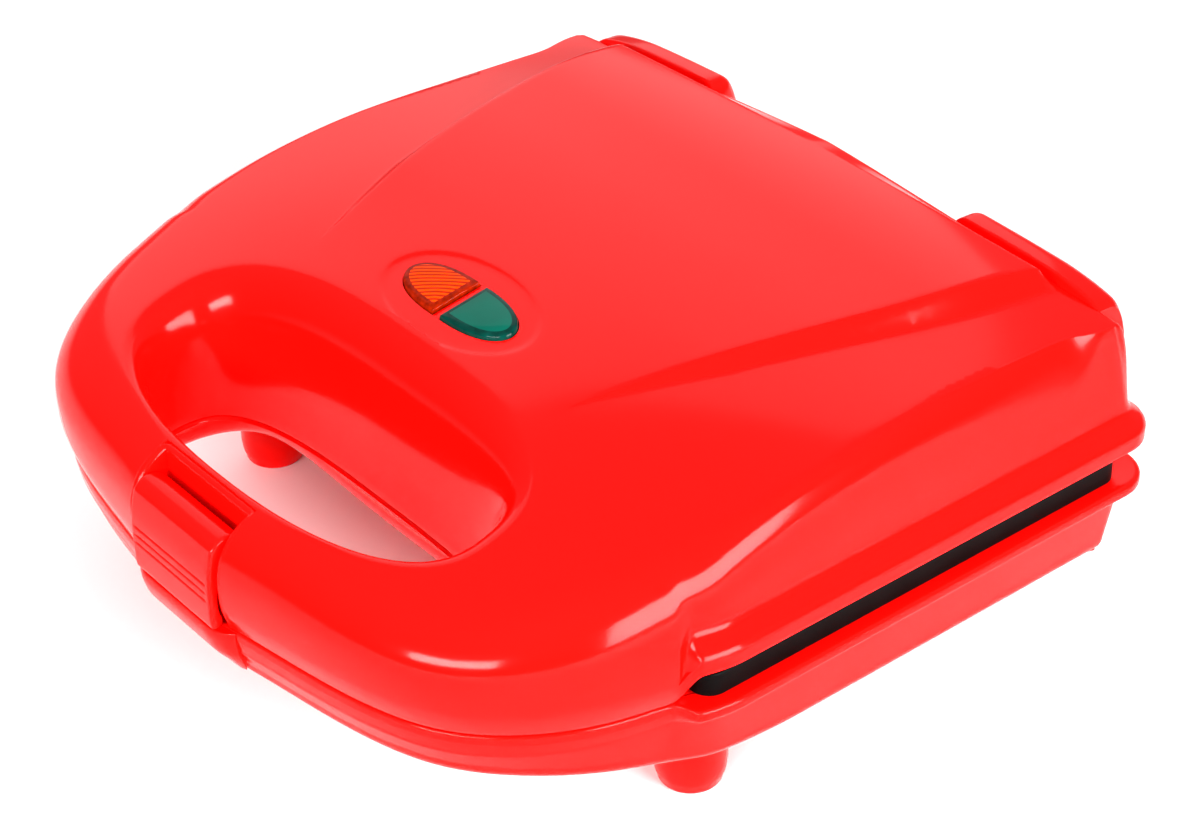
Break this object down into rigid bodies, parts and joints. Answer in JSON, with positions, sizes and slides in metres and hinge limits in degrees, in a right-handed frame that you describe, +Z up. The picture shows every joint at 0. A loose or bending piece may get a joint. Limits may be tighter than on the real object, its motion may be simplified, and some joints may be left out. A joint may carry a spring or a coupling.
{
  "type": "sandwich maker",
  "caption": "Red hinged sandwich maker with a D-shaped hand hole at the front, a rocking latch, indicator windows and black plates with triangular pockets.",
  "frame": {"origin": "on the table, under the middle of the body's bounding box", "axes": "+Z up, +X to the right seen from the handle, +Y from the handle towards the hinge"},
  "size_m": [0.224, 0.2192, 0.0948],
  "materials": {
    "red_shell": "glossy moulded plastic",
    "inner_cover": "satin moulded plastic",
    "black_coating": "dark non-stick coating on die-cast aluminium",
    "steel": "plain",
    "aluminium": "plain sheet",
    "heater_sheath": "dull sheath",
    "orange_lens": "clear tinted",
    "green_lens": "clear tinted",
    "lamp_glass": "clear",
    "board": "bare board",
    "dark_plastic": "plain",
    "ceramic": "unglazed"
  },
  "bodies": {
    "base": {"lower_housing": "red_shell", "latch_catch": "red_shell", "lower_frame": "inner_cover", "lower_plate": "black_coating", "lower_element": "heater_sheath", "lower_reflector": "aluminium", "cord_bushing": "dark_plastic", "thermostat": "dark_plastic", "thermal_fuse": "ceramic", "terminal_block": "ceramic", "front_left_foot": "red_shell", "front_right_foot": "red_shell", "rear_left_foot": "red_shell", "rear_right_foot": "red_shell", "lower_screw_1": "steel", "lower_screw_2": "steel", "lower_screw_3": "steel", "lower_screw_4": "steel"},
    "lid": {"upper_housing": "red_shell", "upper_frame": "inner_cover", "upper_handle_cover": "inner_cover", "upper_plate": "black_coating", "upper_element": "heater_sheath", "upper_reflector": "aluminium", "orange_lens": "orange_lens", "green_lens": "green_lens", "lamp_board": "board", "orange_lamp": "lamp_glass", "green_lamp": "lamp_glass", "latch_pin": "steel", "hinge_pin_left": "steel", "hinge_pin_right": "steel", "upper_screw_1": "steel", "upper_screw_2": "steel", "upper_screw_3": "steel", "upper_screw_4": "steel"},
    "latch": {"latch": "red_shell"}
  },
  "joints": [
    {"name": "lid_hinge", "type": "hinge", "parent": "base", "child": "lid", "pos_m": [0, 0.1026, 0.056], "axis": [-1, 0, 0], "range_deg": [0, 100]},
    {"name": "latch_swing", "type": "hinge", "parent": "lid", "child": "latch", "pos_m": [0, -0.1034, 0.0616], "axis": [-1, 0, 0], "range_deg": [0, 25]}
  ]
}
